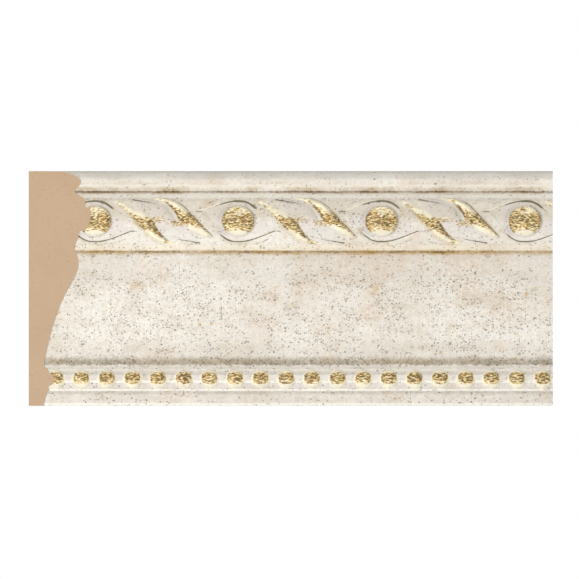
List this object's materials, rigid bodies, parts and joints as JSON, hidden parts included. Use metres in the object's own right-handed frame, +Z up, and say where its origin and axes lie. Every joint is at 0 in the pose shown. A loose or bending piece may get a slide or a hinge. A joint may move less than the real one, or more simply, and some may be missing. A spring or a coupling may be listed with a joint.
{
  "type": "wall moulding",
  "caption": "Wall moulding length with a carved boss-and-leaf frieze, a long ogee and a string of beads; mitred left end, square right end.",
  "frame": {"origin": "centre of the flat back face, which is glued to the wall", "axes": "+X along the length to the viewer's right, +Z up the wall, -Y out of the wall towards the viewer"},
  "size_m": [0.2096, 0.0248, 0.094],
  "materials": {
    "antique_white_finish": "matt antique white film with a brushed gold patina on the raised carving and brown wash in the grooves, over a tan core"
  },
  "bodies": {
    "root": {"moulding": "antique_white_finish"}
  },
  "joints": []
}
